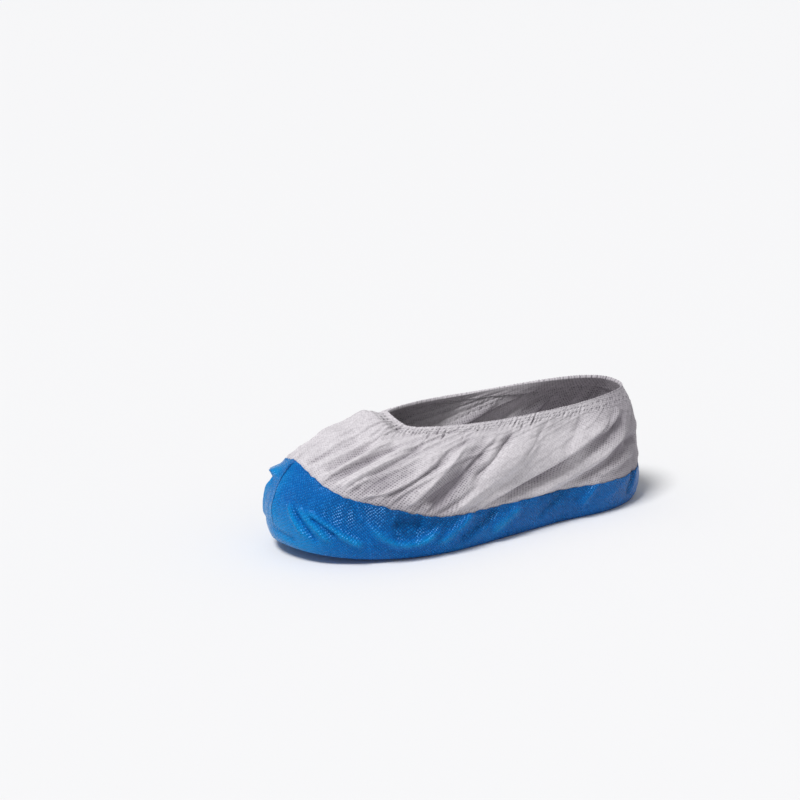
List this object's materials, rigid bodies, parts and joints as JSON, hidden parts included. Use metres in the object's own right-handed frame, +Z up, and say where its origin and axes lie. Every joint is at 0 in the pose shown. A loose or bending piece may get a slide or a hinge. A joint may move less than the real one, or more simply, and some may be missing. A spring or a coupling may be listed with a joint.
{
  "type": "disposable overshoe",
  "caption": "Disposable overshoe in its worn form: white non-woven bag, blue film sole and toe wrap, gathered casing round the ankle opening.",
  "frame": {"origin": "on the floor under the middle of the whole cover's bounding box", "axes": "+Z up, the toe toward -Y and the heel toward +Y, +X toward the outer side of the foot"},
  "size_m": [0.1252, 0.3244, 0.0927],
  "materials": {
    "upper": "white spot-bonded polypropylene non-woven, matte",
    "sole_film": "embossed blue polyethylene film, semi-gloss",
    "hem": "white non-woven folded over and gathered, matte",
    "toe_seam": "welded double edge of the blue film, semi-gloss"
  },
  "bodies": {
    "root": {"upper": "upper", "sole_film": "sole_film", "hem": "hem", "toe_seam": "toe_seam"}
  },
  "joints": []
}
